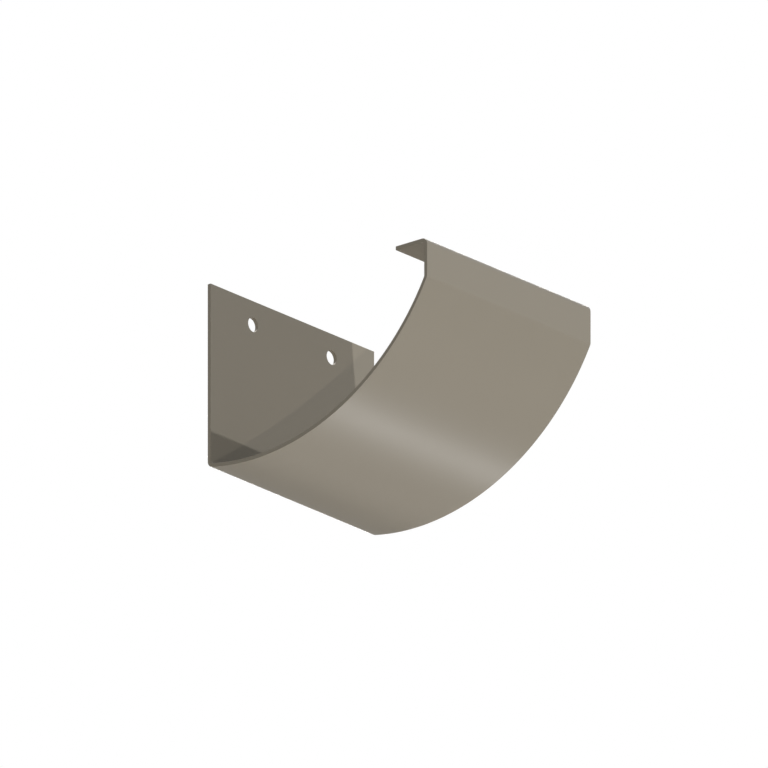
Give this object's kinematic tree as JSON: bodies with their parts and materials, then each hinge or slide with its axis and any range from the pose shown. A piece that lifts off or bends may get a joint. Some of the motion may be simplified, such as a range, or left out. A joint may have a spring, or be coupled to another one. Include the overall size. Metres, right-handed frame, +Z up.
{
  "type": "gutter joint strap",
  "caption": "Folded sheet-metal strap whose curved trough joins lengths of rainwater gutter end to end on a wall or fascia.",
  "frame": {"origin": "on the wall face of the back plate, midway between the two screw holes", "axes": "+X along the gutter, +Y to the wall, +Z up; the trough opens upward and the front lip is toward -Y"},
  "size_m": [0.1, 0.1142, 0.08],
  "materials": {
    "powder_coat": "satin stone-grey powder coat"
  },
  "bodies": {
    "root": {"joint_strap": "powder_coat"}
  },
  "joints": []
}
